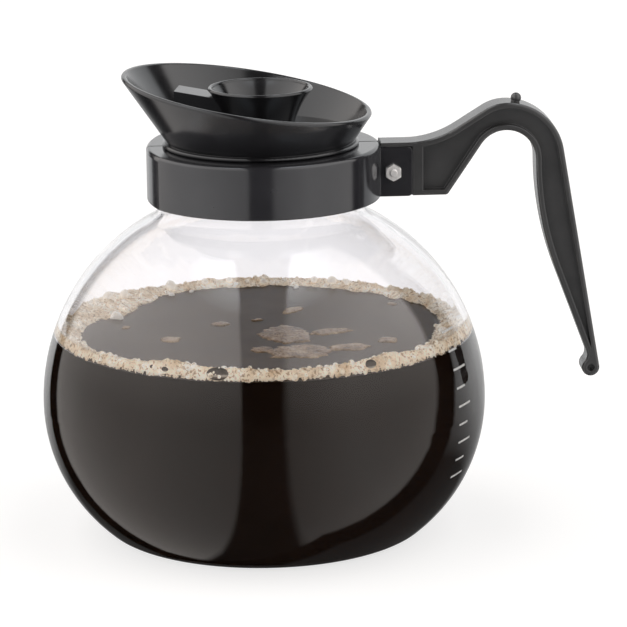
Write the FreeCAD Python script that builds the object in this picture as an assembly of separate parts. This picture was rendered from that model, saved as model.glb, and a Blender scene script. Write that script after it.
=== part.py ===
import FreeCAD, Part
import math
import os

# Glass coffee jug for a bar or cafe: blown bowl, clamped two-piece collar, side handle and funnel lid.
# Millimetres. The origin is the centre of the base, +Z is up and +X points to the handle.

# Glass bowl
bowl_radius = 82.5             # widest outer radius
bowl_equator = 50.0            # height of the widest ring
lower_arc_radius = 62.0        # side of the bowl under the equator
upper_arc_radius = 78.3        # shoulder above the equator
foot_fillet = 12.0             # turn from the side into the flat base
neck_radius = 37.6             # outside of the straight neck
neck_fillet = 6.5              # turn from the shoulder into the neck
neck_length = 18.77            # straight neck, from the shoulder's turn to the top
bead_height = 4.6              # rolled bead under the mouth
bead_stand = 1.4               # how far the bead stands out of the neck
glass_wall = 2.2
glass_floor = 3.0

# Collar, split along the XZ plane into a front and a rear half
collar_height = 19.6
collar_stand = 6.4             # collar's round beyond the neck
collar_wall = 3.7
lid_play = 1.1                 # between the lid's skirt and the collar's mouth
collar_rim_thick = 2.2
collar_lip_thick = 1.8
collar_edge_round = 1.5
collar_foot_round = 0.5        # on the bottom edge
collar_flat_radius = 61.0      # flatter arc across the spout end
collar_flat_depth = 1.8        # how far that arc cuts into the round
split_gap = 0.8
glass_clearance = 0.1          # between the glass and the plastic round it

# Rubber cushion between glass and collar
cushion_fit = 0.05

# Ears and the screw through them
ear_length = 11.4              # beyond the collar's round
ear_thick = 2.4
ear_drop = 1.2                 # top of the ears below the collar's top
ear_root = 1.0                 # the ear starts this far outside the hollow under the flange
ear_round = 1.6
ear_gap = 0.15
tongue_half = 3.7              # half the thickness of the handle's tongue
tongue_root = 0.6              # the tongue starts this far outside the hollow
tongue_lap = 2.0               # and runs this far into the boss
slot_reach = 5.0               # the slot for it runs this far into the hollow
screw_radius = 1.5             # M3
screw_clearance = 0.1
screw_reach = 4.3              # screw axis, beyond the collar's round
nut_across_flats = 5.5
nut_height = 2.4
nut_chamfer = 31.0             # degrees from the nut's face
screw_tip = 0.7                # thread showing past the nut
screw_head_radius = 2.8
screw_head_height = 1.9
screw_slot_width = 0.8
screw_slot_depth = 0.9
screw_slot_share = 0.62        # half its length over the head's radius

# Handle, seen along Y
arm_rise = 0.3                 # flat top of the boss above the collar's top
arm_root = 3.0                 # the outline starts this far inside the collar's round
arm_slope = 32.0               # rise of the arm in degrees
arm_blend = 35.0               # curve from the boss into the arm
crest_reach = 46.6             # top of the arm, beyond the collar's round
crest_rise = 14.3              # crest above the collar's top
crest_near_radius = 16.2       # crest on the jug's side
crest_far_radius = 21.2        # crest on the hand's side
grip_lean = 9.7                # back of the grip, degrees from upright
arch_reach = 46.2              # centre of the finger arch, beyond the round
arch_drop = 6.9                # and this far under the collar's top
arch_radius = 11.0             # finger arch
under_slope = 56.1             # underside of the arm in degrees
palm_radius = 120.0            # long curve of the grip's inner side
palm_lean = 20.5               # degrees from upright at its lower end
bulb_reach = 78.3              # centre of the bulb, beyond the round
bulb_drop = 87.1               # and this far under the collar's top
bulb_radius = 3.3
notch_radius = 4.0             # hollow above the bulb
corner_round = 1.6
grip_half = 6.2                # half the thickness at the arch
grip_end_half = 5.0            # half the thickness at the bulb
flange_thick = 2.0
web_half = 2.8
pocket_start = 15.4            # solid boss before the side pocket, from the collar's round
bulb_pocket_radius = 1.4
edge_round = 0.9
pip_radius = 1.95
pip_reach = 50.3               # pip on the crest, beyond the round
pip_sunk = 0.75

# Lid
skirt_gap = 0.8                # between the lid's skirt and the glass
skirt_depth = 14.0             # below the collar's top
skirt_wall = 2.2
rest_stand = 1.6               # bead beyond the skirt, which rests on the collar
bead_thick = 1.6
bead_round = 0.45              # share of its thickness
lid_seat_gap = 0.05
cone_angle = 34.3              # degrees from upright
cone_wall = 2.0
rim_height = 18.4              # rim plane above the collar's top, at the axis
rim_tilt = 9.2                 # degrees, high at the spout
rim_round = 0.8
floor_rise = 4.4               # top of the lid's floor above the collar's top
floor_thick = 2.2
lid_turn_at_rest = -10.0       # the lid stands turned a little to the rear

# Seal ring in a groove of the skirt
seal_drop = 5.6                # top of the seal below the collar's top
seal_height = 2.4
seal_stand = 0.6               # proud of the skirt
seal_section = 1.7
seal_fit = 0.05
seal_round = 0.9               # share of how far it stands proud

# Grip cup in the middle of the lid
cup_height = 17.0              # above the lid's floor
cup_top_radius = 19.3
cup_waist_radius = 14.95
cup_waist_height = 9.7
cup_base_lap = 1.4             # foot of the cup beyond the stem, on the lid's floor
cup_wall = 1.7
cup_floor = 1.8
cup_drain_radius = 4.0
stem_radius = 10.4
stem_fit = 0.1
stem_wall = 1.6
stem_catch = 0.7
stem_catch_height = 1.0

# Pouring hood between the grip cup and the spout side of the lid
hood_end = 31.0                # from the axis
hood_width = 13.0
hood_wall = 1.8
hood_below_rim = 3.0
hood_floor_lap = 3.0           # floor left under the hood's open end

# the neck stands on the shoulder, and the collar, lid and handle follow the neck
shoulder_turn = neck_radius + neck_fillet - bowl_radius + upper_arc_radius
neck_low = bowl_equator + math.sqrt((upper_arc_radius + neck_fillet) ** 2 - shoulder_turn ** 2)
neck_top = neck_low + neck_length
collar_radius = neck_radius + collar_stand
skirt_radius = neck_radius - glass_wall - skirt_gap
bead_radius = skirt_radius + rest_stand
cup_base_radius = stem_radius + cup_base_lap
collar_top = neck_top + glass_clearance + collar_rim_thick
collar_bottom = collar_top - collar_height
arm_top = collar_top + arm_rise
crest_top = collar_top + crest_rise
arch_z = collar_top - arch_drop
bulb_z = collar_top - bulb_drop
collar_inner = collar_radius - collar_wall
collar_mouth = skirt_radius + lid_play
tongue_gap = 0.1
crest_x = collar_radius + crest_reach
arch_x = collar_radius + arch_reach
bulb_x = collar_radius + bulb_reach
pip_x = collar_radius + pip_reach
ear_half = tongue_half + tongue_gap + ear_thick
ear_top = collar_top - ear_drop
screw_x = collar_radius + screw_reach
screw_z = (collar_bottom + ear_top) / 2
skirt_bottom = collar_top - skirt_depth
bead_bottom = collar_top + lid_seat_gap
bead_top = bead_bottom + bead_thick
floor_top = collar_top + floor_rise
floor_bottom = floor_top - floor_thick
big = 400.0                    # past everything
margin = 10.0                  # cutting blocks run this far past the handle
X = FreeCAD.Vector(1, 0, 0)
Y = FreeCAD.Vector(0, 1, 0)
Z = FreeCAD.Vector(0, 0, 1)
centre = FreeCAD.Vector(0, 0, 0)


def at(r, z):
    return FreeCAD.Vector(r, 0, z)


def line(a, b):
    return Part.makeLine(a, b)


def arc(a, middle, b):
    return Part.Arc(a, middle, b).toShape()


def sweep_arc(c, radius, start, end):
    """Arc about c in the XZ plane, between two angles from +X in degrees."""
    points = []
    for angle in (start, (start + end) / 2, end):
        t = math.radians(angle)
        points.append(at(c.x + radius * math.cos(t), c.z + radius * math.sin(t)))
    return arc(*points)


def polygon(points):
    return Part.makePolygon(points + [points[0]])


def revolve(wire):
    shell = Part.Face(wire).revolve(centre, Z, 360).Shells[0]
    return Part.makeSolid(shell)


def prism(wire, low_y, high_y):
    face = Part.Face(wire)
    face.translate(Y * low_y)
    return face.extrude(Y * (high_y - low_y))


def box(low, high):
    size = [high[k] - low[k] for k in range(3)]
    return Part.makeBox(size[0], size[1], size[2], FreeCAD.Vector(*low))


def tube(radius, low, high):
    return Part.makeCylinder(radius, high - low, at(0, low))


def ring(inner, outer, low, high):
    return tube(outer, low, high).cut(tube(inner, low - 1, high + 1))


def round_edges(shape, radius, chosen):
    edges = [edge for edge in shape.Edges if chosen(edge)]
    return shape.makeFillet(radius, edges)


def level_edge(z):
    return lambda edge: all(abs(v.Z - z) < 0.01 for v in edge.Vertexes) and edge.BoundBox.ZLength < 0.01


def bowl_profile(inset, floor):
    """Edges of the bowl's side from the axis up to the straight neck, moved inwards by inset."""
    lower_c = at(bowl_radius - lower_arc_radius, bowl_equator)
    upper_c = at(bowl_radius - upper_arc_radius, bowl_equator)
    lower = lower_arc_radius - inset
    upper = upper_arc_radius - inset
    foot = foot_fillet - inset
    foot_z = floor + foot
    foot_x = lower_c.x + math.sqrt((lower - foot) ** 2 - (bowl_equator - foot_z) ** 2)
    foot_angle = math.degrees(math.atan2(foot_z - bowl_equator, foot_x - lower_c.x))
    neck = neck_radius - inset
    turn = neck_fillet + inset
    turn_x = neck + turn
    turn_z = bowl_equator + math.sqrt((upper + turn) ** 2 - (turn_x - upper_c.x) ** 2)
    turn_angle = math.degrees(math.atan2(turn_z - bowl_equator, turn_x - upper_c.x))
    return [
        line(at(0, floor), at(foot_x, floor)),
        sweep_arc(at(foot_x, foot_z), foot, -90, foot_angle),
        sweep_arc(lower_c, lower, foot_angle, 0),
        sweep_arc(upper_c, upper, 0, turn_angle),
        sweep_arc(at(turn_x, turn_z), turn, turn_angle - 180, -180),
    ], at(neck, turn_z)


def glass_bowl():
    outside, neck_start = bowl_profile(0, 0)
    inside, bore_start = bowl_profile(glass_wall, glass_floor)
    bore = neck_radius - glass_wall
    bead_low = neck_top - bead_height
    lip = glass_wall / 2
    rim = [
        line(neck_start, at(neck_radius, bead_low)),
        arc(at(neck_radius, bead_low), at(neck_radius + bead_stand, neck_top - bead_height / 2),
            at(neck_radius, neck_top)),
        line(at(neck_radius, neck_top), at(bore + lip, neck_top)),
        sweep_arc(at(bore + lip, neck_top - lip), lip, 90, 180),
        line(at(bore, neck_top - lip), bore_start),
    ]
    axis = [line(at(0, glass_floor), at(0, 0))]
    return revolve(Part.Wire(outside + rim + inside[::-1] + axis))


def neck_cushion():
    inner = neck_radius + cushion_fit
    outer = collar_inner - cushion_fit
    sleeve = neck_radius + bead_stand + cushion_fit
    low = collar_bottom + collar_lip_thick + cushion_fit
    step = neck_top - bead_height - cushion_fit
    return revolve(polygon([at(inner, low), at(outer, low), at(outer, neck_top),
                            at(sleeve, neck_top), at(sleeve, step), at(inner, step)]))


def rounded_disc(radius):
    disc = tube(radius, collar_bottom, collar_top)
    disc = round_edges(disc, collar_edge_round, level_edge(collar_top))
    return round_edges(disc, collar_foot_round, level_edge(collar_bottom))


def collar_ring():
    flatter = rounded_disc(collar_flat_radius)
    flatter.translate(X * (collar_flat_radius + collar_flat_depth - collar_radius))
    shape = rounded_disc(collar_radius).common(flatter)
    lip = neck_radius + glass_clearance
    shape = shape.cut(tube(collar_mouth, collar_bottom - 1, collar_top + 1))
    shape = shape.cut(tube(lip, collar_bottom - 1, collar_bottom + collar_lip_thick + 1))
    hollow = tube(collar_inner, collar_bottom + collar_lip_thick, collar_top - collar_rim_thick)
    return shape.cut(hollow)


def ear(side):
    near = side * (tongue_half + tongue_gap)
    far = side * ear_half
    low_y, high_y = sorted((near, far))
    plate = box((collar_inner + ear_root, low_y, collar_bottom), (collar_radius + ear_length, high_y, ear_top))
    end = collar_radius + ear_length
    plate = round_edges(plate, ear_round, lambda edge: all(abs(v.X - end) < 0.01 for v in edge.Vertexes)
                        and edge.BoundBox.YLength > 0.1)
    return plate.cut(screw_hole())


def screw_hole():
    return Part.makeCylinder(screw_radius + screw_clearance, 40, FreeCAD.Vector(screw_x, -20, screw_z), Y)


def collar_half(side):
    low_y, high_y = sorted((side * split_gap / 2, side * big))
    half = collar_ring().common(box((-big, low_y, 0), (big, high_y, big)))
    slot_top = collar_top - collar_rim_thick
    slot_half = tongue_half + tongue_gap
    slot = box((collar_inner - slot_reach, -slot_half, collar_bottom - 1), (big, slot_half, slot_top))
    return half.cut(slot).fuse(ear(side)).removeSplitter()


def handle_outline(inset):
    """Corner points, centres and radii of the handle's side view, moved inwards by inset."""
    slope = math.radians(arm_slope)
    near_c = at(crest_x, crest_top - crest_near_radius)
    far_c = at(crest_x, crest_top - crest_far_radius)
    near_r = crest_near_radius - inset
    far_r = crest_far_radius - inset
    top = arm_top - inset
    corner_x = near_c.x - (near_r - math.cos(slope) * (top - near_c.z)) / math.sin(slope)
    blend = arm_blend + inset
    tangent = blend * math.tan(slope / 2)
    blend_c = at(corner_x - tangent, top + blend)
    lean = math.radians(grip_lean)
    back = at(far_c.x + far_r * math.cos(lean), far_c.z + far_r * math.sin(lean))
    palm_c = at(arch_x + arch_radius + palm_radius, arch_z)
    palm_r = palm_radius - inset
    turn = math.radians(palm_lean)
    palm_end = at(palm_c.x - palm_r * math.cos(turn), palm_c.z - palm_r * math.sin(turn))
    under = math.radians(under_slope)
    arch_r = arch_radius + inset
    arch_start = at(arch_x - arch_r * math.sin(under), arch_z + arch_r * math.cos(under))
    bottom = collar_bottom + inset
    chin = at(arch_start.x - (arch_start.z - bottom) / math.tan(under), bottom)
    return {
        "top": top, "bottom": bottom, "chin": chin, "back": back, "palm_end": palm_end,
        "arch_start": arch_start,
        "blend": sweep_arc(blend_c, blend, -90, -90 + arm_slope),
        "near": sweep_arc(near_c, near_r, 90 + arm_slope, 90),
        "far": sweep_arc(far_c, far_r, 90, grip_lean),
        "palm": sweep_arc(palm_c, palm_r, 180 + palm_lean, 180),
        "arch": sweep_arc(at(arch_x, arch_z), arch_r, 0, 90 + under_slope),
    }


def ends(edge):
    return edge.valueAt(edge.FirstParameter), edge.valueAt(edge.LastParameter)


def slanted(point, lean, distance):
    """The point that lies distance further down a line leaning outwards by lean degrees."""
    t = math.radians(lean)
    return at(point.x + distance * math.sin(t), point.z - distance * math.cos(t))


def handle_wire():
    o = handle_outline(0)
    blend_low, blend_high = ends(o["blend"])
    near_low = ends(o["near"])[0]
    bulb = at(bulb_x, bulb_z)
    # the back line meets the bulb as a tangent
    back_t = math.radians(grip_lean)
    heel = at(bulb.x + bulb_radius * math.cos(back_t), bulb.z + bulb_radius * math.sin(back_t))
    # the notch rolls between the palm line and the bulb
    palm_t = math.radians(palm_lean)
    along = at(math.sin(palm_t), -math.cos(palm_t))
    out = at(-math.cos(palm_t), -math.sin(palm_t))
    offset = o["palm_end"] + out * notch_radius - bulb
    half_b = offset.dot(along)
    reach = bulb_radius + notch_radius
    run = -half_b - math.sqrt(half_b ** 2 - offset.dot(offset) + reach ** 2)
    notch_c = o["palm_end"] + along * run + out * notch_radius
    notch_start = o["palm_end"] + along * run
    to_bulb = (bulb - notch_c) * (1 / reach)
    notch_end = notch_c + to_bulb * notch_radius
    notch_mid = (notch_start + notch_end) * 0.5 - notch_c
    notch_mid = notch_c + notch_mid * (notch_radius / notch_mid.Length)
    bulb_low = bulb + at(0, -bulb_radius)
    start_x = collar_radius - arm_root
    return Part.Wire([
        line(at(start_x, o["bottom"]), at(start_x, o["top"])),
        line(at(start_x, o["top"]), blend_low),
        o["blend"],
        line(blend_high, near_low),
        o["near"],
        o["far"],
        line(o["back"], heel),
        arc(heel, bulb_low, notch_end),
        arc(notch_end, notch_mid, notch_start),
        line(notch_start, o["palm_end"]),
        o["palm"],
        o["arch"],
        line(o["arch_start"], o["chin"]),
        line(o["chin"], at(start_x, o["bottom"])),
    ])


def pocket_wire():
    o = handle_outline(flange_thick)
    wall_x = collar_radius + pocket_start
    blend_low, blend_high = ends(o["blend"])
    near_low = ends(o["near"])[0]
    # the back and palm lines run together above the bulb
    back_t = math.radians(grip_lean)
    palm_t = math.radians(palm_lean)
    gap = o["palm_end"] - o["back"]
    spread = math.sin(palm_t - back_t)
    run = (gap.z * math.sin(back_t) + gap.x * math.cos(back_t)) / -spread
    tip = slanted(o["palm_end"], palm_lean, run)
    first = o["blend"]
    if blend_low.x < wall_x:
        centre_x = blend_low.x
        radius = arm_blend + flange_thick
        cut = math.degrees(math.asin((wall_x - centre_x) / radius))
        first = sweep_arc(at(centre_x, blend_low.z + radius), radius, -90 + cut, -90 + arm_slope)
        blend_low = ends(first)[0]
    return Part.Wire([
        line(at(wall_x, o["bottom"]), at(wall_x, blend_low.z)),
        first,
        line(blend_high, near_low),
        o["near"],
        o["far"],
        line(o["back"], tip),
        line(tip, o["palm_end"]),
        o["palm"],
        o["arch"],
        line(o["arch_start"], o["chin"]),
        line(o["chin"], at(wall_x, o["bottom"])),
    ])


def cheek_half(z):
    """Half the handle's thickness at a height."""
    per_mm = (grip_half - grip_end_half) / (arch_z - bulb_z)
    return grip_half - max(0, arch_z - z) * per_mm


def grip_envelope():
    """Two slanted cheeks that thin the handle from the arch down to the bulb."""
    top_z = crest_top + margin
    low_z = bulb_z - bulb_radius - margin
    low_half = cheek_half(low_z)
    points = [(-grip_half, top_z), (grip_half, top_z), (grip_half, arch_z), (low_half, low_z),
              (-low_half, low_z), (-grip_half, arch_z)]
    face = Part.Face(polygon([FreeCAD.Vector(0, y, z) for y, z in points]))
    return face.extrude(X * big)


def cheek_edge(edge):
    """True for an outline edge where the handle's rim meets its slanted cheek."""
    for parameter in (edge.FirstParameter, edge.LastParameter):
        p = edge.valueAt(parameter)
        if abs(abs(p.y) - cheek_half(p.z)) > 0.01 or p.x < collar_radius:
            return False
    return True


def handle():
    body = prism(handle_wire(), -grip_half, grip_half).common(grip_envelope())
    chin = handle_outline(0)["chin"]
    body = round_edges(body, corner_round, lambda edge: edge.BoundBox.YLength > 5
                       and abs(edge.BoundBox.XMin - chin.x) < 0.01 and abs(edge.BoundBox.ZMin - chin.z) < 0.01)
    body = round_edges(body, edge_round, cheek_edge)
    pocket = pocket_wire()
    bulb_pocket = Part.makeCylinder(bulb_pocket_radius, big, FreeCAD.Vector(bulb_x, web_half, bulb_z), Y)
    for side in (-1, 1):
        low_y, high_y = sorted((side * web_half, side * big))
        body = body.cut(prism(pocket, low_y, high_y))
    body = body.cut(bulb_pocket).cut(bulb_pocket.mirror(centre, Y))
    # seats for the ears, and the tongue between them
    seat_end = collar_radius + ear_length + ear_gap
    for side in (-1, 1):
        low_y, high_y = sorted((side * tongue_half, side * big))
        body = body.cut(box((0, low_y, 0), (seat_end, high_y, ear_top + ear_gap)))
    body = body.cut(tube(collar_radius + ear_gap, 0, big))
    tongue = box((collar_inner + tongue_root, -tongue_half, collar_bottom),
                 (collar_radius + tongue_lap, tongue_half, collar_top - collar_rim_thick - tongue_gap))
    pip_z = crest_top - crest_far_radius + math.sqrt(crest_far_radius ** 2 - (pip_x - crest_x) ** 2)
    pip = Part.makeSphere(pip_radius, at(pip_x, pip_z + pip_radius - pip_sunk))
    return body.fuse([tongue, pip]).removeSplitter().cut(screw_hole())


def hexagon(across_flats, low_y, height):
    radius = across_flats / math.sqrt(3)
    points = []
    for k in range(6):
        t = math.radians(60 * k + 30)
        points.append(FreeCAD.Vector(screw_x + radius * math.cos(t), low_y, screw_z + radius * math.sin(t)))
    return Part.Face(polygon(points)).extrude(Y * height)


def clamp_nut():
    low_y = -ear_half - nut_height
    nut = hexagon(nut_across_flats, low_y, nut_height)
    corner = nut_across_flats / math.sqrt(3)
    # both faces are turned down to a cone, as on a standard nut
    spread = nut_height / math.tan(math.radians(nut_chamfer))
    chamfer = Part.makeCone(nut_across_flats / 2, nut_across_flats / 2 + spread, nut_height,
                            FreeCAD.Vector(screw_x, low_y, screw_z), Y)
    back = chamfer.mirror(FreeCAD.Vector(0, low_y + nut_height / 2, 0), Y)
    bore = Part.makeCylinder(screw_radius + screw_clearance / 2, nut_height + 2,
                             FreeCAD.Vector(screw_x, low_y - 1, screw_z), Y)
    disc = Part.makeCylinder(corner, nut_height, FreeCAD.Vector(screw_x, low_y, screw_z), Y)
    return nut.common(chamfer).common(back).common(disc).cut(bore)


def clamp_screw():
    end_y = -ear_half - nut_height - screw_tip
    shank = Part.makeCylinder(screw_radius, ear_half - end_y, FreeCAD.Vector(screw_x, end_y, screw_z), Y)
    shank = shank.makeChamfer(screw_radius / 4, [edge for edge in shank.Edges
                                                 if abs(edge.BoundBox.YMin - end_y) < 0.01
                                                 and edge.BoundBox.YLength < 0.01])
    head = Part.makeCylinder(screw_head_radius, screw_head_height,
                             FreeCAD.Vector(screw_x, ear_half, screw_z), Y)
    face_y = ear_half + screw_head_height
    head = round_edges(head, screw_head_height / 2, lambda edge: abs(edge.BoundBox.YMin - face_y) < 0.01)
    slot_low = face_y - screw_slot_depth
    reach = screw_head_radius * screw_slot_share
    wide = screw_slot_width / 2
    for a, b in ((reach, wide), (wide, reach)):
        head = head.cut(box((screw_x - a, slot_low, screw_z - b), (screw_x + a, face_y + 1, screw_z + b)))
    return shank.fuse(head).removeSplitter()


def cone_radius(z):
    """Outer radius of the lid's cone, which starts at the top of the resting bead."""
    return skirt_radius + (z - bead_top) * math.tan(math.radians(cone_angle))


def rim_plane(x):
    return collar_top + rim_height - x * math.tan(math.radians(rim_tilt))


def above_rim(drop):
    """Everything above the tilted rim plane, lowered by drop."""
    block = box((-big, -big, 0), (big, big, big))
    block.rotate(centre, Y, rim_tilt)
    block.translate(Z * (collar_top + rim_height - drop))
    return block


def hood_box(end, half, drop, low):
    """Block from the axis towards the spout, its top parallel to the rim plane and drop below it."""
    return box((-end, -half, low), (0, half, rim_plane(-hood_end))).cut(above_rim(drop))


def lid_funnel():
    top = collar_top + rim_height * 2
    thick = cone_wall / math.cos(math.radians(cone_angle))
    inner_skirt = skirt_radius - skirt_wall
    hole = stem_radius + stem_fit
    wire = polygon([
        at(inner_skirt, skirt_bottom), at(skirt_radius, skirt_bottom), at(skirt_radius, bead_bottom),
        at(bead_radius, bead_bottom), at(bead_radius, bead_top), at(skirt_radius, bead_top),
        at(cone_radius(top), top), at(cone_radius(top) - thick, top),
        at(cone_radius(floor_top) - thick, floor_top), at(hole, floor_top), at(hole, floor_bottom),
        at(inner_skirt, floor_bottom)])
    body = revolve(wire)
    body = round_edges(body, bead_thick * bead_round, lambda edge: abs(edge.BoundBox.XMax - bead_radius) < 0.01
                       and edge.BoundBox.ZLength < 0.01)
    body = body.cut(above_rim(0))
    rim = math.radians(rim_tilt)
    normal = FreeCAD.Vector(math.sin(rim), 0, math.cos(rim))
    level = at(0, collar_top + rim_height).dot(normal)
    body = round_edges(body, rim_round, lambda edge: abs(edge.CenterOfMass.dot(normal) - level) < 0.01)
    # hood with its way up through the floor; the end towards the spout is open
    inside = hood_width / 2 - hood_wall
    lowered = hood_below_rim + hood_wall
    hood = hood_box(hood_end, hood_width / 2, hood_below_rim, floor_bottom).cut(tube(hole, 0, big))
    shaft = hood_box(hood_end - hood_floor_lap, inside, lowered, floor_bottom - 1)
    mouth = hood_box(hood_end + 1, inside, lowered, floor_top)
    passage = shaft.fuse(mouth).cut(tube(cup_base_radius + hood_wall, 0, big))
    body = body.fuse(hood).cut(passage).cut(cup_space()).removeSplitter()
    seal_top = collar_top - seal_drop
    groove = skirt_radius + seal_stand - seal_section - seal_fit
    return body.cut(ring(groove, skirt_radius + 1, seal_top - seal_height - seal_fit, seal_top + seal_fit))


def cup_side(inset, low):
    """Three points of the cup's flared side, moved inwards by inset and started at height low."""
    return (at(cup_base_radius - inset, low), at(cup_waist_radius - inset, floor_top + cup_waist_height),
            at(cup_top_radius - inset, floor_top + cup_height - cup_wall / 2))


def cup_space():
    """The grip cup's outside with a little room round it."""
    base, waist, top = cup_side(-stem_fit, floor_top)
    return revolve(Part.Wire([line(at(0, base.z), base), arc(base, waist, top), line(top, at(0, top.z)),
                              line(at(0, top.z), at(0, base.z))]))


def lid_grip_cup():
    base, waist, top = cup_side(0, floor_top)
    inner_base, inner_waist, inner_top = cup_side(cup_wall, floor_top + cup_floor)
    lip = at(cup_top_radius - cup_wall / 2, floor_top + cup_height)
    catch_top = floor_bottom - stem_fit
    catch_low = catch_top - stem_catch_height
    bore = stem_radius - stem_wall
    return revolve(Part.Wire([
        line(at(cup_drain_radius, floor_top), at(cup_drain_radius, inner_base.z)),
        line(at(cup_drain_radius, inner_base.z), inner_base),
        arc(inner_base, inner_waist, inner_top),
        arc(inner_top, lip, top),
        arc(top, waist, base),
        line(base, at(stem_radius, floor_top)),
        line(at(stem_radius, floor_top), at(stem_radius, catch_top)),
        line(at(stem_radius, catch_top), at(stem_radius + stem_catch, catch_top)),
        line(at(stem_radius + stem_catch, catch_top), at(stem_radius - stem_fit, catch_low)),
        line(at(stem_radius - stem_fit, catch_low), at(bore, catch_low)),
        line(at(bore, catch_low), at(bore, floor_top)),
        line(at(bore, floor_top), at(cup_drain_radius, floor_top)),
    ]))


def lid_seal():
    outer = skirt_radius + seal_stand
    top = collar_top - seal_drop
    seal = ring(outer - seal_section, outer, top - seal_height, top)
    return round_edges(seal, seal_stand * seal_round, lambda edge: abs(edge.BoundBox.XMax - outer) < 0.01
                       and edge.BoundBox.ZLength < 0.01)


def turned(shape):
    shape.rotate(centre, Z, lid_turn_at_rest)
    return shape


def main():
    nodes = {
        "glass_bowl": glass_bowl(),
        "neck_cushion": neck_cushion(),
        "collar_front": collar_half(-1),
        "collar_rear": collar_half(1),
        "handle": handle(),
        "clamp_screw": clamp_screw(),
        "clamp_nut": clamp_nut(),
        "lid_funnel": turned(lid_funnel()),
        "lid_grip_cup": turned(lid_grip_cup()),
        "lid_seal": lid_seal(),
    }
    os.makedirs("parts", exist_ok=True)
    for name, shape in nodes.items():
        shape.exportStep("parts/" + name + ".step")
        print(name, shape.ShapeType, len(shape.Solids), "solid", round(shape.Volume), "mm3",
              "valid" if shape.isValid() else "INVALID")


main()
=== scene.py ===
import math
import bpy
import bmesh
from mathutils import Matrix, Vector, noise


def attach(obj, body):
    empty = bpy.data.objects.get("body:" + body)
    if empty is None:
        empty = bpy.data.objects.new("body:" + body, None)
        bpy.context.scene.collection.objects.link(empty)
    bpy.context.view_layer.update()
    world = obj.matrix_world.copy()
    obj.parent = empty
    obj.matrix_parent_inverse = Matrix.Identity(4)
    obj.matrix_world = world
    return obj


# Glass coffee jug with a clamped collar, a side handle and a funnel lid, filled with fresh coffee.
# Metres. The base stands on z = 0, the handle points along +X and the spout of the lid along -X.

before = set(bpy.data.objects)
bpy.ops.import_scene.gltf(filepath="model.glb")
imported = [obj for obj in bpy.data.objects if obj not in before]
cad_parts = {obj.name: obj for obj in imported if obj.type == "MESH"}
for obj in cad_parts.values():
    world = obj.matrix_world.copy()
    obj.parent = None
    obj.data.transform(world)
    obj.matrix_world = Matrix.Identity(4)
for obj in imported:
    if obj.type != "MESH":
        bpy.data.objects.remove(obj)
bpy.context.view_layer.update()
mm = 0.001

cameraPlace = {
    "x": -0.0548, "y": -1.2558, "z": 0.3923,
    "heading": 3.352, "pitch": 13.896, "roll": 0.634,   # degrees: to the right of +Y, down from level, clockwise
    "lens": 199.66,
}


def makeCamera(place):
    camera = bpy.data.objects.new("camera", bpy.data.cameras.new("camera"))
    camera.data.sensor_width = 36
    camera.data.lens = place["lens"]
    camera.data.clip_start = 0.05
    camera.data.clip_end = 50
    turn = Matrix.Rotation(math.radians(-place["heading"]), 4, "Z")
    tip = Matrix.Rotation(math.radians(90 - place["pitch"]), 4, "X")
    roll = Matrix.Rotation(math.radians(-place["roll"]), 4, "Z")
    camera.matrix_world = Matrix.Translation((place["x"], place["y"], place["z"])) @ turn @ tip @ roll
    bpy.context.scene.collection.objects.link(camera)
    bpy.context.scene.camera = camera


makeCamera(cameraPlace)
print("camera set")


# Node tools: put() makes a node, sets its options and links or fills its inputs

def put(tree, kind, inputs=None, **options):
    node = tree.nodes.new(kind)
    for name, value in options.items():
        setattr(node, name, value)
    for key, value in (inputs or {}).items():
        socket = node.inputs[key]
        if isinstance(value, bpy.types.NodeSocket):
            tree.links.new(value, socket)
        else:
            socket.default_value = value
    return node


def calc(tree, operation, first, second=0.0, third=0.0):
    node = put(tree, "ShaderNodeMath", {0: first, 1: second, 2: third}, operation=operation)
    return node.outputs[0]


def ramp(tree, factor, stops, mode="LINEAR"):
    node = put(tree, "ShaderNodeValToRGB", {"Fac": factor})
    node.color_ramp.interpolation = mode
    elements = node.color_ramp.elements
    while len(elements) < len(stops):
        elements.new(0.5)
    for element, (position, value) in zip(elements, stops):
        element.position = position
        element.color = value if len(value) == 4 else (*value, 1)
    return node.outputs["Color"]


def grey(value):
    return (value, value, value, 1)


def blendColour(tree, factor, first, second, mode="MIX"):
    node = put(tree, "ShaderNodeMix", data_type="RGBA", blend_type=mode)
    ends = [node.inputs[0]] + [socket for socket in node.inputs if socket.type == "RGBA"]
    for socket, value in zip(ends, (factor, first, second)):
        if isinstance(value, bpy.types.NodeSocket):
            tree.links.new(value, socket)
        else:
            socket.default_value = value
    return [socket for socket in node.outputs if socket.type == "RGBA"][0]


# Studio: two long softboxes with a dark gap between them, a lit backdrop behind and a soft light overhead

studio = {
    "viewTurn": -2.5, "viewRise": 14.0,     # degrees: the lights are arranged round this way, from -Y and from level
    "gapLeft": -11.5, "gapRight": 12.0,     # dark room between the two softboxes, degrees to the left and right
    "leftNear": 0.70, "leftFar": 1.05, "rightNear": 0.55, "rightFar": 1.0,    # brightness at each end of a softbox
    "leftEnd": 138.0, "leftStrip": 9.0,     # where each softbox ends, and the thin dark strip beyond it
    "rightEnd": 102.0, "rightStrip": 13.0,
    "gap": 0.012, "backLeft": 0.85, "backMiddle": 1.0, "backRight": 0.42, "underBack": 0.06,
    "warmth": (1.0, 0.94, 0.895), "level": 0.88, "upperGain": 1.75,    # both softboxes, brighter towards their tops
    "overhead": 2.4, "overheadFrom": 0.86, "shown": 1.0,    # soft light above, and the backdrop the camera sees
}


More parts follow.
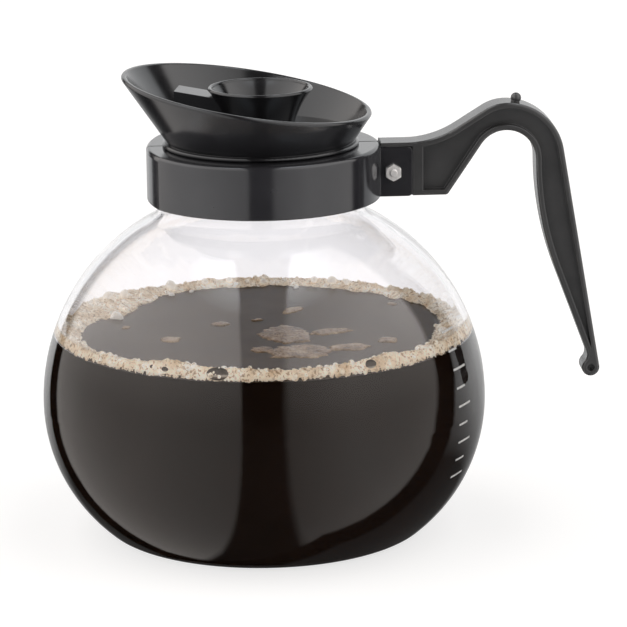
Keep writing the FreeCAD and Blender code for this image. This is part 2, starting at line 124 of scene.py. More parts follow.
def makeWorld(lights):
    world = bpy.data.worlds.new("studio")
    world.use_nodes = True
    bpy.context.scene.world = world
    tree = world.node_tree
    tree.nodes.clear()
    way = put(tree, "ShaderNodeTexCoord").outputs["Generated"]
    turned = put(tree, "ShaderNodeVectorRotate",
                 {"Vector": way, "Angle": math.radians(-lights["viewTurn"])}, rotation_type="Z_AXIS").outputs[0]
    parts = put(tree, "ShaderNodeSeparateXYZ", {0: turned})
    height = parts.outputs["Z"]
    rise = math.radians(lights["viewRise"])
    toView = put(tree, "ShaderNodeVectorMath", {0: turned, 1: (0, -math.cos(rise), math.sin(rise))},
                 operation="DOT_PRODUCT").outputs["Value"]
    away = calc(tree, "MULTIPLY", calc(tree, "ARCCOSINE", toView), 180 / math.pi)
    across = calc(tree, "ADD", calc(tree, "DIVIDE", calc(tree, "ARCSINE", parts.outputs["X"]), math.pi), 0.5)

    def step(value, low, high, first=0.0, last=1.0):
        return put(tree, "ShaderNodeMapRange", {"Value": value, "From Min": low, "From Max": high,
                                                "To Min": first, "To Max": last}).outputs[0]

    def side(degrees, value):
        return (degrees / 180 + 0.5, grey(value))

    toRight = step(parts.outputs["X"], -0.3, 0.3)
    end = calc(tree, "MULTIPLY_ADD", toRight, lights["rightEnd"] - lights["leftEnd"], lights["leftEnd"])
    strip = calc(tree, "MULTIPLY_ADD", toRight, lights["rightStrip"] - lights["leftStrip"], lights["leftStrip"])
    past = calc(tree, "ADD", end, strip)
    inFront = step(away, calc(tree, "SUBTRACT", end, 3.0), end, 1.0, 0.0)
    behind = step(away, past, calc(tree, "ADD", past, 3.0))
    boxes = ramp(tree, across, [
        side(-90, lights["leftFar"]), side(-60, lights["leftFar"]), side(lights["gapLeft"] - 1, lights["leftNear"]),
        side(lights["gapLeft"] + 1, lights["gap"]), side(lights["gapRight"] - 3, lights["gap"]),
        side(lights["gapRight"] + 1, lights["rightNear"]), side(45, lights["rightFar"]),
        side(90, lights["rightFar"])])
    gain = step(height, 0.0, 0.5, lights["level"], lights["upperGain"] * lights["level"])
    warm = put(tree, "ShaderNodeVectorMath", {0: boxes, 1: lights["warmth"]}, operation="MULTIPLY").outputs[0]
    front = put(tree, "ShaderNodeVectorMath", {0: warm, "Scale": calc(tree, "MULTIPLY", inFront, gain)},
                operation="SCALE").outputs[0]
    backdrop = ramp(tree, across, [side(-90, lights["backLeft"]), side(-40, lights["backMiddle"]),
                                   side(40, lights["backMiddle"]), side(80, lights["backRight"]),
                                   side(90, lights["backRight"])])
    dim = step(height, -0.12, -0.45, 1.0, lights["underBack"])
    back = put(tree, "ShaderNodeVectorMath", {0: backdrop, "Scale": calc(tree, "MULTIPLY", behind, dim)},
               operation="SCALE").outputs[0]
    both = put(tree, "ShaderNodeVectorMath", {0: front, 1: back}, operation="ADD").outputs[0]
    beside = step(calc(tree, "ABSOLUTE", parts.outputs["X"]), 0.17, 0.20)
    roof = calc(tree, "MULTIPLY", beside, step(height, lights["overheadFrom"], lights["overheadFrom"] + 0.1))
    whole = blendColour(tree, roof, both, grey(lights["overhead"]))
    lit = put(tree, "ShaderNodeBackground", {"Color": whole, "Strength": 1.0})
    shown = put(tree, "ShaderNodeBackground", {"Color": grey(lights["shown"]), "Strength": 1.0})
    direct = put(tree, "ShaderNodeLightPath").outputs["Is Camera Ray"]
    mix = put(tree, "ShaderNodeMixShader", {0: direct, 1: lit.outputs[0], 2: shown.outputs[0]})
    put(tree, "ShaderNodeOutputWorld", {"Surface": mix.outputs[0]})


makeWorld(studio)
scene = bpy.context.scene
scene.view_settings.view_transform = "Standard"
scene.view_settings.look = "None"


# Materials

def newMaterial(name):
    material = bpy.data.materials.new(name)
    material.use_nodes = True
    tree = material.node_tree
    tree.nodes.clear()
    shader = put(tree, "ShaderNodeBsdfPrincipled")
    put(tree, "ShaderNodeOutputMaterial", {"Surface": shader.outputs[0]})
    place = put(tree, "ShaderNodeTexCoord").outputs["Object"]
    return material, tree, shader, place


def stretched(tree, place, scale):
    return put(tree, "ShaderNodeMapping", {"Vector": place, "Scale": scale}).outputs[0]


mouldPattern = {
    "cloud": 55.0, "hairlines": (180, 180, 2600), "grain": 2600.0,
    "sink": 120.0, "sinkDepth": 0.012 * mm,      # faint waves where the plastic shrank
    "mattColour": (0.085, 0.085, 0.088, 1), "mattRoughness": 0.18, "mattEdge": 1.0 * mm,
}


# Black injection moulded plastic: fine grain, slightly uneven gloss and a few hairline scuffs
def moulded(name, dark, pale, roughness, specular, grain, soften, scuffs=0.5, mattFrom=None):
    material, tree, shader, place = newMaterial(name)
    cloud = put(tree, "ShaderNodeTexNoise",
                {"Vector": place, "Scale": mouldPattern["cloud"], "Detail": 4.0, "Roughness": 0.6})
    colour = ramp(tree, cloud.outputs["Fac"], [(0.3, dark), (0.72, pale)])
    scratch = put(tree, "ShaderNodeTexNoise",
                  {"Vector": stretched(tree, place, mouldPattern["hairlines"]), "Scale": 1.0, "Detail": 3.0})
    hair = ramp(tree, scratch.outputs["Fac"], [(0.66, (0, 0, 0)), (0.74, (1, 1, 1))])
    uneven = put(tree, "ShaderNodeMapRange", {"Value": cloud.outputs["Fac"], "From Min": 0.25, "From Max": 0.75,
                                              "To Min": roughness * 0.8, "To Max": roughness * 1.25})
    rough = calc(tree, "MULTIPLY_ADD", hair, 0.10 * scuffs, uneven.outputs[0])
    if mattFrom is not None:                        # the clamp ears come from a textured mould face, so they are matt
        outward = put(tree, "ShaderNodeSeparateXYZ", {0: place}).outputs["X"]
        matt = put(tree, "ShaderNodeMapRange", {"Value": outward, "From Min": mattFrom * mm,
                                                "From Max": mattFrom * mm + mouldPattern["mattEdge"]}).outputs[0]
        colour = blendColour(tree, matt, colour, mouldPattern["mattColour"])
        rough = calc(tree, "MULTIPLY_ADD", matt, mouldPattern["mattRoughness"], rough)
    fine = put(tree, "ShaderNodeTexNoise", {"Vector": place, "Scale": mouldPattern["grain"], "Detail": 2.0})
    rounded = put(tree, "ShaderNodeBevel", {"Radius": soften * mm}, samples=6).outputs[0]
    bump = put(tree, "ShaderNodeBump", {"Strength": 1.0, "Distance": grain * mm, "Height": fine.outputs["Fac"],
                                        "Normal": rounded})
    sink = put(tree, "ShaderNodeTexNoise", {"Vector": place, "Scale": mouldPattern["sink"], "Detail": 1.0})
    wave = put(tree, "ShaderNodeBump", {"Strength": 1.0, "Distance": mouldPattern["sinkDepth"],
                                        "Height": sink.outputs["Fac"], "Normal": bump.outputs[0]})
    for key, value in (("Base Color", colour), ("Roughness", rough), ("Normal", wave.outputs[0])):
        tree.links.new(value, shader.inputs[key])
    shader.inputs["Specular IOR Level"].default_value = specular
    shader.inputs["Specular Tint"].default_value = (0.90, 0.95, 1.0, 1)
    return material


finish = {
    "collar": {"dark": (0.018, 0.018, 0.021), "pale": (0.029, 0.029, 0.033), "roughness": 0.13, "specular": 1.0,
               "grain": 0.0012, "soften": 0.4, "mattFrom": 55.5},
    "handle": {"dark": (0.036, 0.036, 0.037), "pale": (0.048, 0.048, 0.049), "roughness": 0.22, "specular": 1.0,
               "grain": 0.0006, "soften": 0.55, "scuffs": 0.15},
    "lid": {"dark": (0.010, 0.010, 0.011), "pale": (0.018, 0.018, 0.020), "roughness": 0.17, "specular": 0.9,
            "grain": 0.0010, "soften": 0.3},
}
collarPlastic = moulded("collarPlastic", **finish["collar"])
handlePlastic = moulded("handlePlastic", **finish["handle"])
lidPlastic = moulded("lidPlastic", **finish["lid"])


# Blown glass: clear, with a faint cool tint and slow waves in the wall
def makeGlass(name, tint, roughness):
    material, tree, shader, place = newMaterial(name)
    slow = put(tree, "ShaderNodeTexNoise", {"Vector": place, "Scale": 22.0, "Detail": 1.0})
    bump = put(tree, "ShaderNodeBump", {"Strength": 1.0, "Distance": 0.02 * mm, "Height": slow.outputs["Fac"]})
    tree.links.new(bump.outputs[0], shader.inputs["Normal"])
    shader.inputs["Base Color"].default_value = tint
    shader.inputs["Roughness"].default_value = roughness
    shader.inputs["IOR"].default_value = 1.5
    shader.inputs["Transmission Weight"].default_value = 1.0
    return material


bowlGlass = makeGlass("bowlGlass", (0.957, 0.956, 0.976, 1), 0.0)


# Zinc plated steel with fine turning marks
def makeMetal(name):
    material, tree, shader, place = newMaterial(name)
    cloud = put(tree, "ShaderNodeTexNoise", {"Vector": place, "Scale": 900.0, "Detail": 4.0})
    colour = ramp(tree, cloud.outputs["Fac"], [(0.3, (0.80, 0.80, 0.81)), (0.7, (0.93, 0.93, 0.93))])
    rough = put(tree, "ShaderNodeMapRange", {"Value": cloud.outputs["Fac"], "To Min": 0.36, "To Max": 0.50})
    marks = put(tree, "ShaderNodeTexNoise",
                {"Vector": stretched(tree, place, (6000, 400, 6000)), "Scale": 1.0, "Detail": 2.0})
    bump = put(tree, "ShaderNodeBump", {"Distance": 0.004 * mm, "Height": marks.outputs["Fac"]})
    for key, value in (("Base Color", colour), ("Roughness", rough.outputs[0]), ("Normal", bump.outputs[0])):
        tree.links.new(value, shader.inputs[key])
    shader.inputs["Metallic"].default_value = 0.7
    return material


# Soft rubber with a fine matt grain
def makeRubber(name, dark, pale, roughness):
    material, tree, shader, place = newMaterial(name)
    cloud = put(tree, "ShaderNodeTexNoise", {"Vector": place, "Scale": 300.0, "Detail": 5.0})
    colour = ramp(tree, cloud.outputs["Fac"], [(0.3, dark), (0.7, pale)])
    rough = put(tree, "ShaderNodeMapRange", {"Value": cloud.outputs["Fac"], "To Min": roughness - 0.1,
                                             "To Max": roughness + 0.1})
    fine = put(tree, "ShaderNodeTexNoise", {"Vector": place, "Scale": 3500.0, "Detail": 2.0})
    bump = put(tree, "ShaderNodeBump", {"Distance": 0.02 * mm, "Height": fine.outputs["Fac"]})
    for key, value in (("Base Color", colour), ("Roughness", rough.outputs[0]), ("Normal", bump.outputs[0])):
        tree.links.new(value, shader.inputs[key])
    return material


steel = makeMetal("zincSteel")
sealRubber = makeRubber("sealRubber", (0.05, 0.05, 0.05), (0.08, 0.08, 0.08), 0.55)
cushionRubber = makeRubber("cushionRubber", (0.02, 0.02, 0.02), (0.035, 0.035, 0.035), 0.6)

surfaces = {
    "glass_bowl": bowlGlass, "neck_cushion": cushionRubber, "collar_front": collarPlastic,
    "collar_rear": collarPlastic, "handle": handlePlastic, "clamp_screw": steel, "clamp_nut": steel,
    "lid_funnel": lidPlastic, "lid_grip_cup": lidPlastic, "lid_seal": sealRubber,
}
for nodeName, material in surfaces.items():
    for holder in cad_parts[nodeName].material_slots:
        holder.material = material
print("plastics, glass and steel done")


# Coffee

coffee = {
    "level": 76.45 * mm,
    "intoWall": 0.30 * mm,       # the coffee reaches into the glass so that no air gap shows
    "equator": 50 * mm, "lowerCentre": 20.5 * mm, "lowerRadius": 59.8 * mm,
    "upperCentre": 4.2 * mm, "upperRadius": 76.1 * mm,
    "floor": 3.0 * mm, "footRadius": 9.8 * mm,
    "bodyBelow": 1.2 * mm, "skin": 0.5 * mm,     # the dark body stops under the level, and the surface laps it
    "creep": 1.0 * mm, "creepReach": 1.1 * mm,   # how far the surface climbs the glass, and how fast that dies away
    "creepStep": 0.45 * mm, "steps": 192,
}


# Inside radius of the bowl at a height
def wallRadius(z):
    if z < coffee["equator"]:
        return coffee["lowerCentre"] + math.sqrt(coffee["lowerRadius"] ** 2 - (coffee["equator"] - z) ** 2)
    return coffee["upperCentre"] + math.sqrt(coffee["upperRadius"] ** 2 - (z - coffee["equator"]) ** 2)


# Points (radius, height) of the inside of the glass from the axis up to a height, moved out by reach
def wallOutline(top, reach):
    foot = coffee["footRadius"]
    footZ = coffee["floor"] + foot
    lower = coffee["lowerRadius"]
    footX = coffee["lowerCentre"] + math.sqrt((lower - foot) ** 2 - (coffee["equator"] - footZ) ** 2)
    last = math.atan2(footZ - coffee["equator"], footX - coffee["lowerCentre"])
    points = [(0, coffee["floor"] - reach), (footX * 0.5, coffee["floor"] - reach)]
    for step in range(13):
        angle = -math.pi / 2 + (last + math.pi / 2) * step / 12
        points.append((footX + (foot + reach) * math.cos(angle), footZ + (foot + reach) * math.sin(angle)))
    for step in range(1, 33):
        angle = last * (1 - step / 32)
        points.append((coffee["lowerCentre"] + (lower + reach) * math.cos(angle),
                       coffee["equator"] + (lower + reach) * math.sin(angle)))
    upper = coffee["upperRadius"] + reach
    end = math.asin((top - coffee["equator"]) / upper)
    for step in range(1, 17):
        angle = end * step / 16
        points.append((coffee["upperCentre"] + upper * math.cos(angle), coffee["equator"] + upper * math.sin(angle)))
    return points


# Closed mesh turned round Z from an outline that starts and ends on the axis
def spun(name, outline, steps, material):
    body = bmesh.new()
    rings = []
    for radius, height in outline:
        if radius < 1e-7:
            rings.append([body.verts.new((0, 0, height))])
        else:
            rings.append([body.verts.new((radius * math.cos(2 * math.pi * k / steps),
                                          radius * math.sin(2 * math.pi * k / steps), height)) for k in range(steps)])
    for low, high in zip(rings, rings[1:]):
        for k in range(steps):
            n = (k + 1) % steps
            if len(low) == 1:
                body.faces.new((low[0], high[n], high[k]))
            elif len(high) == 1:
                body.faces.new((low[k], low[n], high[0]))
            else:
                body.faces.new((low[k], low[n], high[n], high[k]))
    bmesh.ops.recalc_face_normals(body, faces=body.faces)
    return closeBody(name, body, material)


def addPiece(name, mesh, material=None):
    piece = bpy.data.objects.new(name, mesh)
    bpy.context.scene.collection.objects.link(piece)
    if material:
        mesh.materials.append(material)
    return piece


# Smooth faces, then a mesh and an object from a hand-built body
def closeBody(name, body, material=None):
    for face in body.faces:
        face.smooth = True
    mesh = bpy.data.meshes.new(name)
    body.to_mesh(mesh)
    body.free()
    return addPiece(name, mesh, material)


def makeCoffeeMaterials():
    body, tree, shader, place = newMaterial("coffeeBody")
    cloud = put(tree, "ShaderNodeTexNoise", {"Vector": place, "Scale": 30.0, "Detail": 3.0})
    colour = ramp(tree, cloud.outputs["Fac"], [(0.3, (0.0085, 0.0040, 0.0020)), (0.75, (0.0150, 0.0075, 0.0042))])
    tree.links.new(colour, shader.inputs["Base Color"])
    shader.inputs["Roughness"].default_value = 0.25
    shader.inputs["Specular IOR Level"].default_value = 0.03
    top, tree, shader, place = newMaterial("coffeeSurface")
    cloud = put(tree, "ShaderNodeTexNoise", {"Vector": place, "Scale": 45.0, "Detail": 4.0})
    colour = ramp(tree, cloud.outputs["Fac"], [(0.3, (0.058, 0.037, 0.021)), (0.75, (0.092, 0.062, 0.037))])
    ripple = put(tree, "ShaderNodeTexNoise", {"Vector": place, "Scale": 60.0, "Detail": 1.0})
    bump = put(tree, "ShaderNodeBump", {"Distance": 0.06 * mm, "Height": ripple.outputs["Fac"]})
    tree.links.new(colour, shader.inputs["Base Color"])
    tree.links.new(bump.outputs[0], shader.inputs["Normal"])
    shader.inputs["Roughness"].default_value = 0.05
    shader.inputs["IOR"].default_value = 1.08
    return body, top


coffeeBody, coffeeSurface = makeCoffeeMaterials()
bodyTop = coffee["level"] - coffee["bodyBelow"]
liquid = spun("coffee", wallOutline(bodyTop, coffee["intoWall"]) + [(0, bodyTop)], coffee["steps"], coffeeBody)
wall = wallRadius(coffee["level"]) + coffee["intoWall"]
under = bodyTop - coffee["skin"]
surfaceOutline = [(0, under), (wall * 0.6, under), (wall - 0.1 * mm, under), (wall, coffee["level"])]
climb = wallRadius(coffee["level"] + coffee["creep"]) + coffee["intoWall"] * 0.5
for step in range(9):
    away = step * coffee["creepStep"]
    surfaceOutline.append((climb - away, coffee["level"] + coffee["creep"] * math.exp(-away / coffee["creepReach"])))
surfaceOutline += [(wall * 0.7, coffee["level"]), (wall * 0.3, coffee["level"]), (0, coffee["level"])]
surface = spun("coffee_surface", surfaceOutline, coffee["steps"], coffeeSurface)
for piece in (liquid, surface):
    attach(piece, "jug")
print("coffee done")


# Foam: a ring that clings to the glass, thin rafts on the surface, and loose and pressed bubbles

foam = {
    "below": 0.7 * mm, "front": 3.6 * mm, "back": 1.9 * mm, "width": 7.2 * mm, "intoWall": 0.42 * mm,
    "ragged": 1.15 * mm, "steps": 1080, "seed": 11,
    "slow": 6, "quick": 45, "rough": 150,        # waves round the ring, coarse to fine
    "lowest": 0.7 * mm, "narrowest": 2.5 * mm,   # the ring is never lower or narrower than this
    # wider places round the ring: angle from +X, half spread, extra width, extra height
    "patches": [(150, 16, 10.0, 1.6), (128, 8, 3.0, 0.5), (-16, 14, 3.0, 1.2), (20, 12, -1.5, 0.8),
                (-118, 6, 1.5, 1.6), (-57, 5, 1.5, 1.2), (-85, 9, -2.0, -0.8), (-150, 14, -2.5, -0.6)],
    "bubbleDensity": 210000.0, "bubbleSmall": 0.24 * mm, "bubbleLarge": 1.5 * mm,
}


frothPattern = {"small": 1150.0, "large": 420.0, "cloud": 160.0, "pits": 900.0}    # cells and clouds in a metre


# Froth: packed bubbles of two sizes, paler where it is thick and brown where it is thin, with an optional painted
# glow that makes the froth shine with its own colour
def makeFoamMaterial(name, dark, middle, pale, roughness, glow=0.0):
    material, tree, shader, place = newMaterial(name)
    cells = put(tree, "ShaderNodeTexVoronoi", {"Vector": place, "Scale": frothPattern["small"]})
    large = put(tree, "ShaderNodeTexVoronoi", {"Vector": place, "Scale": frothPattern["large"]})
    cloud = put(tree, "ShaderNodeTexNoise", {"Vector": place, "Scale": frothPattern["cloud"], "Detail": 4.0})
    tone = ramp(tree, cloud.outputs["Fac"], [(0.30, dark), (0.52, middle), (0.72, pale)])
    hole = ramp(tree, large.outputs["Distance"], [(0.10, (0.34, 0.24, 0.15)), (0.30, (1, 1, 1))])
    froth = put(tree, "ShaderNodeTexNoise",
                {"Vector": place, "Scale": frothPattern["pits"], "Detail": 2.0, "Roughness": 0.6})
    pit = ramp(tree, froth.outputs["Fac"], [(0.36, (0.42, 0.30, 0.19)), (0.47, (1, 1, 1))])
    pitted = blendColour(tree, 0.75, tone, pit, "MULTIPLY")
    both = blendColour(tree, 0.45, pitted, hole, "MULTIPLY")
    bump = put(tree, "ShaderNodeBump", {"Distance": 0.25 * mm, "Height": cells.outputs["Distance"]}, invert=True)
    more = put(tree, "ShaderNodeBump", {"Distance": 0.4 * mm, "Height": large.outputs["Distance"],
                                        "Normal": bump.outputs[0]}, invert=True)
    tree.links.new(both, shader.inputs["Base Color"])
    tree.links.new(more.outputs[0], shader.inputs["Normal"])
    shader.inputs["Roughness"].default_value = roughness
    shader.inputs["IOR"].default_value = 1.33
    # Painted light: the emission makes the froth shine with its own colour, brighter than the lamps light it
    tree.links.new(both, shader.inputs["Emission Color"])
    shader.inputs["Emission Strength"].default_value = glow
    return material


# The last number is the strength of the painted glow; the thin rafts have none
coffeeFoam = makeFoamMaterial("coffeeFoam", (0.72, 0.53, 0.34), (0.97, 0.84, 0.66), (1.0, 0.96, 0.86), 0.30, 0.16)
thinFoam = makeFoamMaterial("thinFoam", (0.20, 0.125, 0.065), (0.40, 0.27, 0.155), (0.62, 0.47, 0.31), 0.25)
frothBubble = makeFoamMaterial("frothBubble", (0.80, 0.66, 0.48), (0.97, 0.90, 0.78), (1.0, 0.98, 0.94), 0.08, 0.22)


def patchSum(angle, column):
    total = 0.0
    for middle, spread, extraWidth, extraHeight in foam["patches"]:
        apart = (math.degrees(angle) - middle + 180) % 360 - 180
        total += (extraWidth, extraHeight)[column] * mm * math.exp(-(apart / spread) ** 2)
    return total


def foamRing():
    steps = foam["steps"]
    level = coffee["level"]
    body = bmesh.new()
    rings = []
    for k in range(steps):
        angle = 2 * math.pi * k / steps
        here = Vector((math.cos(angle), math.sin(angle), 0))
        slow = noise.noise(here * foam["slow"] + Vector((0, 0, foam["seed"])))
        quick = noise.noise(here * foam["quick"] + Vector((0, 3, foam["seed"])))
        rough = noise.noise(here * foam["rough"] + Vector((7, 0, foam["seed"])))
        frontness = 0.5 - 0.5 * math.sin(angle)
        below = foam["below"] + foam["ragged"] * (0.5 * slow + 0.8 * quick + 0.7 * rough)
        above = foam["back"] + (foam["front"] - foam["back"]) * frontness ** 1.5 \
            + 0.5 * mm * slow + 0.5 * mm * quick + 0.25 * mm * rough + patchSum(angle, 1)
        above = max(above, foam["lowest"])
        width = foam["width"] + 2.2 * mm * slow + 1.0 * mm * quick + 0.4 * mm * rough + patchSum(angle, 0)
        width = max(width, foam["narrowest"])
        section = []
        for step in range(5):                       # up the glass
            z = level - below + (below + above) * step / 4
            tuck = 0.25 * mm if step in (0, 4) else 0
            section.append((wallRadius(z) + foam["intoWall"] - tuck, z))
        outer = wallRadius(level + above)
        for step in range(1, 11):                   # over the top and down to the surface
            t = step / 10
            z = level + above * (1 - t) ** 1.6 + min(above, 1.6 * mm) * 0.7 * math.sqrt(max(1 - t * t, 0)) * t
            section.append((outer - width * t, z))
        section.append((outer - width * 0.97, level - 0.4 * mm))
        section.append((outer - width * 0.5, level - 0.8 * mm))
        section.append((wallRadius(level - below) - 0.6 * mm, level - below - 0.1 * mm))
        ring = []
        for index, (radius, z) in enumerate(section):
            spot = Vector((radius * here.x, radius * here.y, z))
            if 4 < index < 14:
                lump = noise.noise(spot * 900) * 0.35 * mm + noise.noise(spot * 350) * 0.5 * mm
                spot.z += max(lump, -0.6 * (z - level))
            ring.append(body.verts.new(spot))
        rings.append(ring)
    count = len(rings[0])
    for k in range(steps):
        n = (k + 1) % steps
        for j in range(count):
            i = (j + 1) % count
            body.faces.new((rings[k][j], rings[n][j], rings[n][i], rings[k][i]))
    bmesh.ops.recalc_face_normals(body, faces=body.faces)
    return closeBody("foam_ring", body, coffeeFoam)


foamPiece = foamRing()

islands = [
    # middle x and y in mm, length, width, turn in degrees
    {"x": 8.5, "y": -13.3, "long": 20, "wide": 26, "turn": 10},
    {"x": 24.2, "y": -10.0, "long": 17, "wide": 9, "turn": 20},
    {"x": 11.4, "y": -38.7, "long": 26, "wide": 20, "turn": -5},
    {"x": 30.0, "y": -34.0, "long": 16, "wide": 10, "turn": 10},
    {"x": -2.1, "y": -34.4, "long": 9, "wide": 9, "turn": 0},
    {"x": -15.6, "y": 6.0, "long": 7.4, "wide": 7, "turn": -15},
    {"x": 12.1, "y": 25.1, "long": 6.3, "wide": 12, "turn": -30},
    {"x": -1.5, "y": 10.7, "long": 5.4, "wide": 4, "turn": 20},
    {"x": -34.8, "y": -16.3, "long": 7.4, "wide": 9, "turn": 5},
    {"x": 44.2, "y": -24.9, "long": 8.1, "wide": 9, "turn": 5},
    {"x": -51.1, "y": 3.5, "long": 4.2, "wide": 5, "turn": 0},
    {"x": 51.2, "y": 32.1, "long": 3.7, "wide": 6, "turn": 0},
]


# Thin rafts of foam: a flat dome with a ragged edge, its rim under the surface
def foamIslands():
    body = bmesh.new()
    for number, raft in enumerate(islands):
        rim, rings = 72, 7
        turn = math.radians(raft["turn"])
        middle = Vector((raft["x"] * mm, raft["y"] * mm, coffee["level"]))
        rows = []
        for row in range(1, rings + 1):
            t = row / rings
            loop = []
            for k in range(rim):
                angle = 2 * math.pi * k / rim
                way = Vector((math.cos(angle), math.sin(angle), 0))
                edge = 1 + 0.34 * noise.noise(way * 1.4 + Vector((number * 9.1, 0, 0))) \
                    + 0.20 * noise.noise(way * 5 + Vector((0, number * 5.3, 0))) \
                    + 0.10 * noise.noise(way * 14 + Vector((0, 0, number * 3.7)))
                x = way.x * raft["long"] / 2 * edge * t * mm
                y = way.y * raft["wide"] / 2 * edge * t * mm
                spot = middle + Vector((x * math.cos(turn) - y * math.sin(turn),
                                        x * math.sin(turn) + y * math.cos(turn), 0))
                lift = 0.45 * mm * math.sqrt(max(1 - t ** 3, 0)) + 0.22 * mm * noise.noise(spot * 500) * (1 - t ** 4)
                spot.z += lift if row < rings else -0.15 * mm
                loop.append(body.verts.new(spot))
            rows.append(loop)
        top = body.verts.new(middle + Vector((0, 0, 0.45 * mm)))
        bottom = body.verts.new(middle - Vector((0, 0, 0.4 * mm)))
        for k in range(rim):
            n = (k + 1) % rim
            body.faces.new((top, rows[0][k], rows[0][n]))
            body.faces.new((bottom, rows[-1][n], rows[-1][k]))
            for low, high in zip(rows, rows[1:]):
                body.faces.new((low[k], high[k], high[n], low[n]))
    bmesh.ops.recalc_face_normals(body, faces=body.faces)
    return closeBody("foam_islands", body, thinFoam)


islandPiece = foamIslands()


# Geometry Nodes tree with a Geometry input and output and the named number inputs
def newGeometryTree(name, inputs):
    tree = bpy.data.node_groups.new(name, "GeometryNodeTree")
    tree.interface.new_socket(name="Geometry", in_out="INPUT", socket_type="NodeSocketGeometry")
    for label, value in inputs.items():
        kind = "NodeSocketInt" if isinstance(value, int) else "NodeSocketFloat"
        socket = tree.interface.new_socket(name=label, in_out="INPUT", socket_type=kind)
        socket.default_value = value
    tree.interface.new_socket(name="Geometry", in_out="OUTPUT", socket_type="NodeSocketGeometry")
    return tree, put(tree, "NodeGroupInput").outputs


# Every tree ends the same way: real geometry with its material set
def closeTree(tree, geometry, material):
    real = put(tree, "GeometryNodeRealizeInstances", {0: geometry})
    painted = put(tree, "GeometryNodeSetMaterial", {"Geometry": real.outputs[0], "Material": material})
    put(tree, "NodeGroupOutput", {0: painted.outputs[0]})


# Plain mesh piece from a Geometry Nodes tree, run on a copy of the source mesh
def grown(name, tree, values, source=None):
    mesh = source.data.copy() if source else bpy.data.meshes.new(name + "_seed")
    piece = addPiece(name, mesh)
    modifier = piece.modifiers.new("grow", "NODES")
    modifier.node_group = tree
    for item in tree.interface.items_tree:
        if item.item_type == "SOCKET" and item.in_out == "INPUT" and item.name in values:
            modifier[item.identifier] = values[item.name]
    graph = bpy.context.evaluated_depsgraph_get()
    made = bpy.data.meshes.new_from_object(piece.evaluated_get(graph))
    piece.modifiers.clear()
    piece.data = made
    made.name = name
    return piece


def bubbleTree(material):
    tree, given = newGeometryTree("foamBubbles", {"Density": 100000.0, "Smallest": 0.2 * mm,
                                                  "Largest": 0.7 * mm, "Seed": 1})
    normal = put(tree, "GeometryNodeInputNormal").outputs[0]
    up = put(tree, "ShaderNodeSeparateXYZ", {0: normal}).outputs["Z"]
    onTop = put(tree, "FunctionNodeCompare", {0: up, 1: 0.25},
                data_type="FLOAT", operation="GREATER_THAN").outputs[0]
    spots = put(tree, "GeometryNodeDistributePointsOnFaces", {"Mesh": given["Geometry"], "Selection": onTop,
                                                               "Density": given["Density"], "Seed": given["Seed"]})
    ball = put(tree, "GeometryNodeMeshIcoSphere", {"Radius": 1.0, "Subdivisions": 2})
    smooth = put(tree, "GeometryNodeSetShadeSmooth", {"Geometry": ball.outputs[0]})
    chance = put(tree, "FunctionNodeRandomValue", {"Seed": given["Seed"]}, data_type="FLOAT")
    luck = [s for s in chance.outputs if s.type == "VALUE"][0]
    rare = calc(tree, "POWER", luck, 4.0)
    span = calc(tree, "SUBTRACT", given["Largest"], given["Smallest"])
    size = calc(tree, "MULTIPLY_ADD", rare, span, given["Smallest"])
    balls = put(tree, "GeometryNodeInstanceOnPoints", {"Points": spots.outputs[0], "Instance": smooth.outputs[0],
                                                       "Scale": size})
    closeTree(tree, balls.outputs[0], material)
    return tree


bubbleValues = {"Density": foam["bubbleDensity"], "Smallest": foam["bubbleSmall"], "Largest": foam["bubbleLarge"],
                "Seed": foam["seed"]}
bubbles = grown("foam_bubbles", bubbleTree(frothBubble), bubbleValues, foamPiece)
print("bubbles", len(bubbles.data.polygons))

# Single large bubbles: angle round the ring from +X, distance in from the glass, lift and radius in mm
largeBubbles = [
    (118, 4.6, 2.3, 1.9), (106, 4.2, 2.1, 1.3), (98, 4.0, 2.1, 1.1), (71, 4.2, 2.2, 1.4), (65, 4.0, 2.2, 1.8),
    (60, 4.0, 2.1, 1.3), (146, 5.6, 3.6, 2.6), (138, 5.4, 2.9, 2.2), (142, 9.5, 0.8, 1.6), (149, 12.0, 0.5, 1.3),
    (232, 2.6, 1.2, 1.2), (237, 2.4, 1.0, 1.0), (33, 3.2, 0.6, 1.2),
    (160, 17.0, 0.2, 2.4), (128, 10.5, 0.2, 1.4), (121, 11.0, 0.1, 1.2), (113, 10.2, 0.1, 0.9), (76, 10.5, 0.1, 0.9),
]


# Wet film of a single bubble: milky, with a faint brown cast, a sharp highlight and a faint painted glow
def makeFilm():
    material, tree, shader, place = newMaterial("bubbleFilm")
    swirl = put(tree, "ShaderNodeTexNoise", {"Vector": place, "Scale": 700.0, "Detail": 3.0})
    colour = ramp(tree, swirl.outputs["Fac"], [(0.3, (0.92, 0.86, 0.76)), (0.7, (1.0, 0.99, 0.97))])
    tree.links.new(colour, shader.inputs["Base Color"])
    # Painted light: the emission makes the film shine with its own colour
    tree.links.new(colour, shader.inputs["Emission Color"])
    shader.inputs["Emission Strength"].default_value = 0.16
    shader.inputs["Roughness"].default_value = 0.04
    shader.inputs["IOR"].default_value = 1.33
    shader.inputs["Transmission Weight"].default_value = 0.3
    return material


def roundTheRing(distance, turn, height):
    return Matrix.Translation((distance * math.cos(turn), distance * math.sin(turn), height))


def bubbleDomes():
    body = bmesh.new()
    for angle, inset, lift, radius in largeBubbles:
        distance = wallRadius(coffee["level"]) - inset * mm
        place = roundTheRing(distance, math.radians(angle), coffee["level"] + lift * mm)
        made = bmesh.ops.create_icosphere(body, subdivisions=4, radius=radius * mm, matrix=place)["verts"]
        for vertex in made:
            vertex.co.z = max(vertex.co.z, coffee["level"] - 0.3 * mm)
    return closeBody("foam_domes", body, makeFilm())


domes = bubbleDomes()

